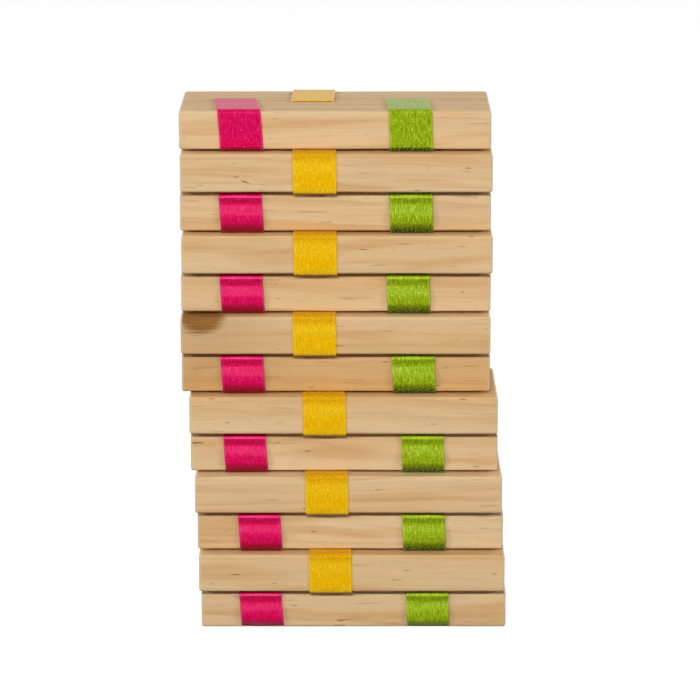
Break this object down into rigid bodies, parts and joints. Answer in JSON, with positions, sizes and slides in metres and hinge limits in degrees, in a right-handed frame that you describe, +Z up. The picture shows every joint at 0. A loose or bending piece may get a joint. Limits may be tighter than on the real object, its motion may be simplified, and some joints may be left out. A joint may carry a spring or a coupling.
{
  "type": "jacobs ladder toy",
  "caption": "Folding toy of flat wooden blocks in a stack, hinged edge to edge by three coloured satin ribbons, so that it opens from the stack into a ladder.",
  "frame": {"origin": "on the floor, under the middle of the folded stack's bounding box", "axes": "+Z up through the stack, +X along the long edges of the blocks, -Y towards the front edges"},
  "size_m": [0.0536, 0.0246, 0.0868],
  "materials": {
    "pine": "sanded bare pine",
    "pink_satin": "woven satin ribbon",
    "yellow_satin": "woven satin ribbon",
    "green_satin": "woven satin ribbon"
  },
  "bodies": {
    "rung_01": {"block_01": "pine", "pink_ribbon_01": "pink_satin", "yellow_ribbon_01": "yellow_satin", "green_ribbon_01": "green_satin"},
    "rung_02": {"block_02": "pine", "pink_ribbon_02": "pink_satin", "yellow_ribbon_02": "yellow_satin", "green_ribbon_02": "green_satin"},
    "rung_03": {"block_03": "pine", "pink_ribbon_03": "pink_satin", "yellow_ribbon_03": "yellow_satin", "green_ribbon_03": "green_satin"},
    "rung_04": {"block_04": "pine", "pink_ribbon_04": "pink_satin", "yellow_ribbon_04": "yellow_satin", "green_ribbon_04": "green_satin"},
    "rung_05": {"block_05": "pine", "pink_ribbon_05": "pink_satin", "yellow_ribbon_05": "yellow_satin", "green_ribbon_05": "green_satin"},
    "rung_06": {"block_06": "pine", "pink_ribbon_06": "pink_satin", "yellow_ribbon_06": "yellow_satin", "green_ribbon_06": "green_satin"},
    "rung_07": {"block_07": "pine", "pink_ribbon_07": "pink_satin", "yellow_ribbon_07": "yellow_satin", "green_ribbon_07": "green_satin"},
    "rung_08": {"block_08": "pine", "pink_ribbon_08": "pink_satin", "yellow_ribbon_08": "yellow_satin", "green_ribbon_08": "green_satin"},
    "rung_09": {"block_09": "pine", "pink_ribbon_09": "pink_satin", "yellow_ribbon_09": "yellow_satin", "green_ribbon_09": "green_satin"},
    "rung_10": {"block_10": "pine", "pink_ribbon_10": "pink_satin", "yellow_ribbon_10": "yellow_satin", "green_ribbon_10": "green_satin"},
    "rung_11": {"block_11": "pine", "pink_ribbon_11": "pink_satin", "yellow_ribbon_11": "yellow_satin", "green_ribbon_11": "green_satin"},
    "rung_12": {"block_12": "pine", "pink_ribbon_12": "pink_satin", "yellow_ribbon_12": "yellow_satin", "green_ribbon_12": "green_satin"},
    "rung_13": {"block_13": "pine", "pink_ribbon_13": "pink_satin", "yellow_ribbon_13": "yellow_satin", "green_ribbon_13": "green_satin"}
  },
  "joints": [
    {"name": "fold_01", "type": "hinge", "parent": "rung_01", "child": "rung_02", "pos_m": [0, 0.0121, 0.08002], "axis": [1, 0, 0], "range_deg": [0, 180]},
    {"name": "fold_02", "type": "hinge", "parent": "rung_02", "child": "rung_03", "pos_m": [0, -0.0121, 0.07334], "axis": [-1, 0, 0], "range_deg": [0, 180]},
    {"name": "fold_03", "type": "hinge", "parent": "rung_03", "child": "rung_04", "pos_m": [0, 0.0121, 0.06666], "axis": [1, 0, 0], "range_deg": [0, 180]},
    {"name": "fold_04", "type": "hinge", "parent": "rung_04", "child": "rung_05", "pos_m": [0, -0.0121, 0.05998], "axis": [-1, 0, 0], "range_deg": [0, 180]},
    {"name": "fold_05", "type": "hinge", "parent": "rung_05", "child": "rung_06", "pos_m": [0, 0.0121, 0.0533], "axis": [1, 0, 0], "range_deg": [0, 180]},
    {"name": "fold_06", "type": "hinge", "parent": "rung_06", "child": "rung_07", "pos_m": [0, -0.0121, 0.04662], "axis": [-1, 0, 0], "range_deg": [0, 180]},
    {"name": "fold_07", "type": "hinge", "parent": "rung_07", "child": "rung_08", "pos_m": [0, 0.0121, 0.03994], "axis": [1, 0, 0], "range_deg": [0, 180]},
    {"name": "fold_08", "type": "hinge", "parent": "rung_08", "child": "rung_09", "pos_m": [0, -0.0121, 0.03326], "axis": [-1, 0, 0], "range_deg": [0, 180]},
    {"name": "fold_09", "type": "hinge", "parent": "rung_09", "child": "rung_10", "pos_m": [0, 0.0121, 0.02658], "axis": [1, 0, 0], "range_deg": [0, 180]},
    {"name": "fold_10", "type": "hinge", "parent": "rung_10", "child": "rung_11", "pos_m": [0, -0.0121, 0.0199], "axis": [-1, 0, 0], "range_deg": [0, 180]},
    {"name": "fold_11", "type": "hinge", "parent": "rung_11", "child": "rung_12", "pos_m": [0, 0.0121, 0.01322], "axis": [1, 0, 0], "range_deg": [0, 180]},
    {"name": "fold_12", "type": "hinge", "parent": "rung_12", "child": "rung_13", "pos_m": [0, -0.0121, 0.00654], "axis": [-1, 0, 0], "range_deg": [0, 180]}
  ]
}
